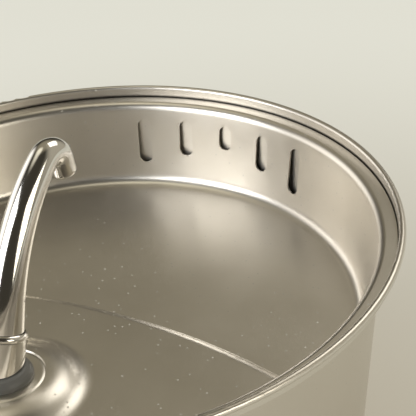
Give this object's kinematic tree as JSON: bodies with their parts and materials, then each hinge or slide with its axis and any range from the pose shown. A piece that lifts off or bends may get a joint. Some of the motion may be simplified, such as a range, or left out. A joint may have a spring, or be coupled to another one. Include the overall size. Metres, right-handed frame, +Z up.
{
  "type": "pet water fountain",
  "caption": "Round steel pet drinking fountain: a slotted drinking tray with a swivelling crook spout hangs in a tank that hides a pump and a filter.",
  "frame": {"origin": "on the table under the middle of the tank", "axes": "+Z up; -Y is the slotted side of the drinking tray, which the spout points to, and +Y is the side of the spout's base and of the lead"},
  "size_m": [0.2, 0.2, 0.1487],
  "materials": {
    "satin_steel": "satin",
    "polished_steel": "mirror",
    "grey_silicone": "matte",
    "clear_silicone": "satin",
    "black_rubber": "matte",
    "dark_plastic": "satin",
    "light_plastic": "satin",
    "white_plastic": "satin",
    "blue_plastic": "satin",
    "ferrite": "satin",
    "zirconia": "polished",
    "core_steel": "satin",
    "copper_wire": "lacquered",
    "carbon": "granular",
    "foam": "matte"
  },
  "bodies": {
    "tank": {"tank": "satin_steel", "base_ring": "grey_silicone", "cable_grommet": "grey_silicone", "outlet_hose": "clear_silicone", "pump_body": "dark_plastic", "pump_back_plug": "dark_plastic", "volute_cover": "dark_plastic", "volute_seal": "black_rubber", "rotor_shaft": "zirconia", "shaft_bushes": "black_rubber", "stator_core": "core_steel", "stator_coils": "copper_wire", "cable_gland": "black_rubber", "suction_feet": "clear_silicone", "filter_box": "light_plastic", "foam_sheet": "foam"},
    "tray": {"tray": "satin_steel"},
    "grommet": {"spout_grommet": "grey_silicone"},
    "spout": {"spout_tube": "polished_steel", "spout_collar": "polished_steel", "spout_spigot": "dark_plastic", "spigot_seal": "black_rubber"},
    "rotor": {"impeller": "white_plastic", "rotor_magnet": "ferrite"},
    "slider": {"flow_slider": "blue_plastic"},
    "front": {"filter_cover": "light_plastic"},
    "cartridge": {"cartridge_frame": "white_plastic", "carbon_pack": "carbon"}
  },
  "joints": [
    {"name": "tray_lift", "type": "slide", "parent": "tank", "child": "tray", "axis": [0, 0, 1], "range_m": [0, 0.12]},
    {"name": "grommet_lift", "type": "slide", "parent": "tray", "child": "grommet", "axis": [0, 0, 1], "range_m": [0, 0.03]},
    {"name": "spout_swivel", "type": "hinge", "parent": "grommet", "child": "spout", "pos_m": [0, 0.0405, 0.09], "axis": [0, 0, 1], "continuous": true},
    {"name": "rotor_spin", "type": "hinge", "parent": "tank", "child": "rotor", "pos_m": [0, 0.046, 0.029], "axis": [0, 1, 0], "continuous": true},
    {"name": "flow_slide", "type": "slide", "parent": "tank", "child": "slider", "axis": [1, 0, 0], "range_m": [0, 0.006]},
    {"name": "cover_pull", "type": "slide", "parent": "tank", "child": "front", "axis": [0, -1, 0], "range_m": [0, 0.03]},
    {"name": "cartridge_lift", "type": "slide", "parent": "tank", "child": "cartridge", "axis": [0, 0, 1], "range_m": [0, 0.036]}
  ]
}
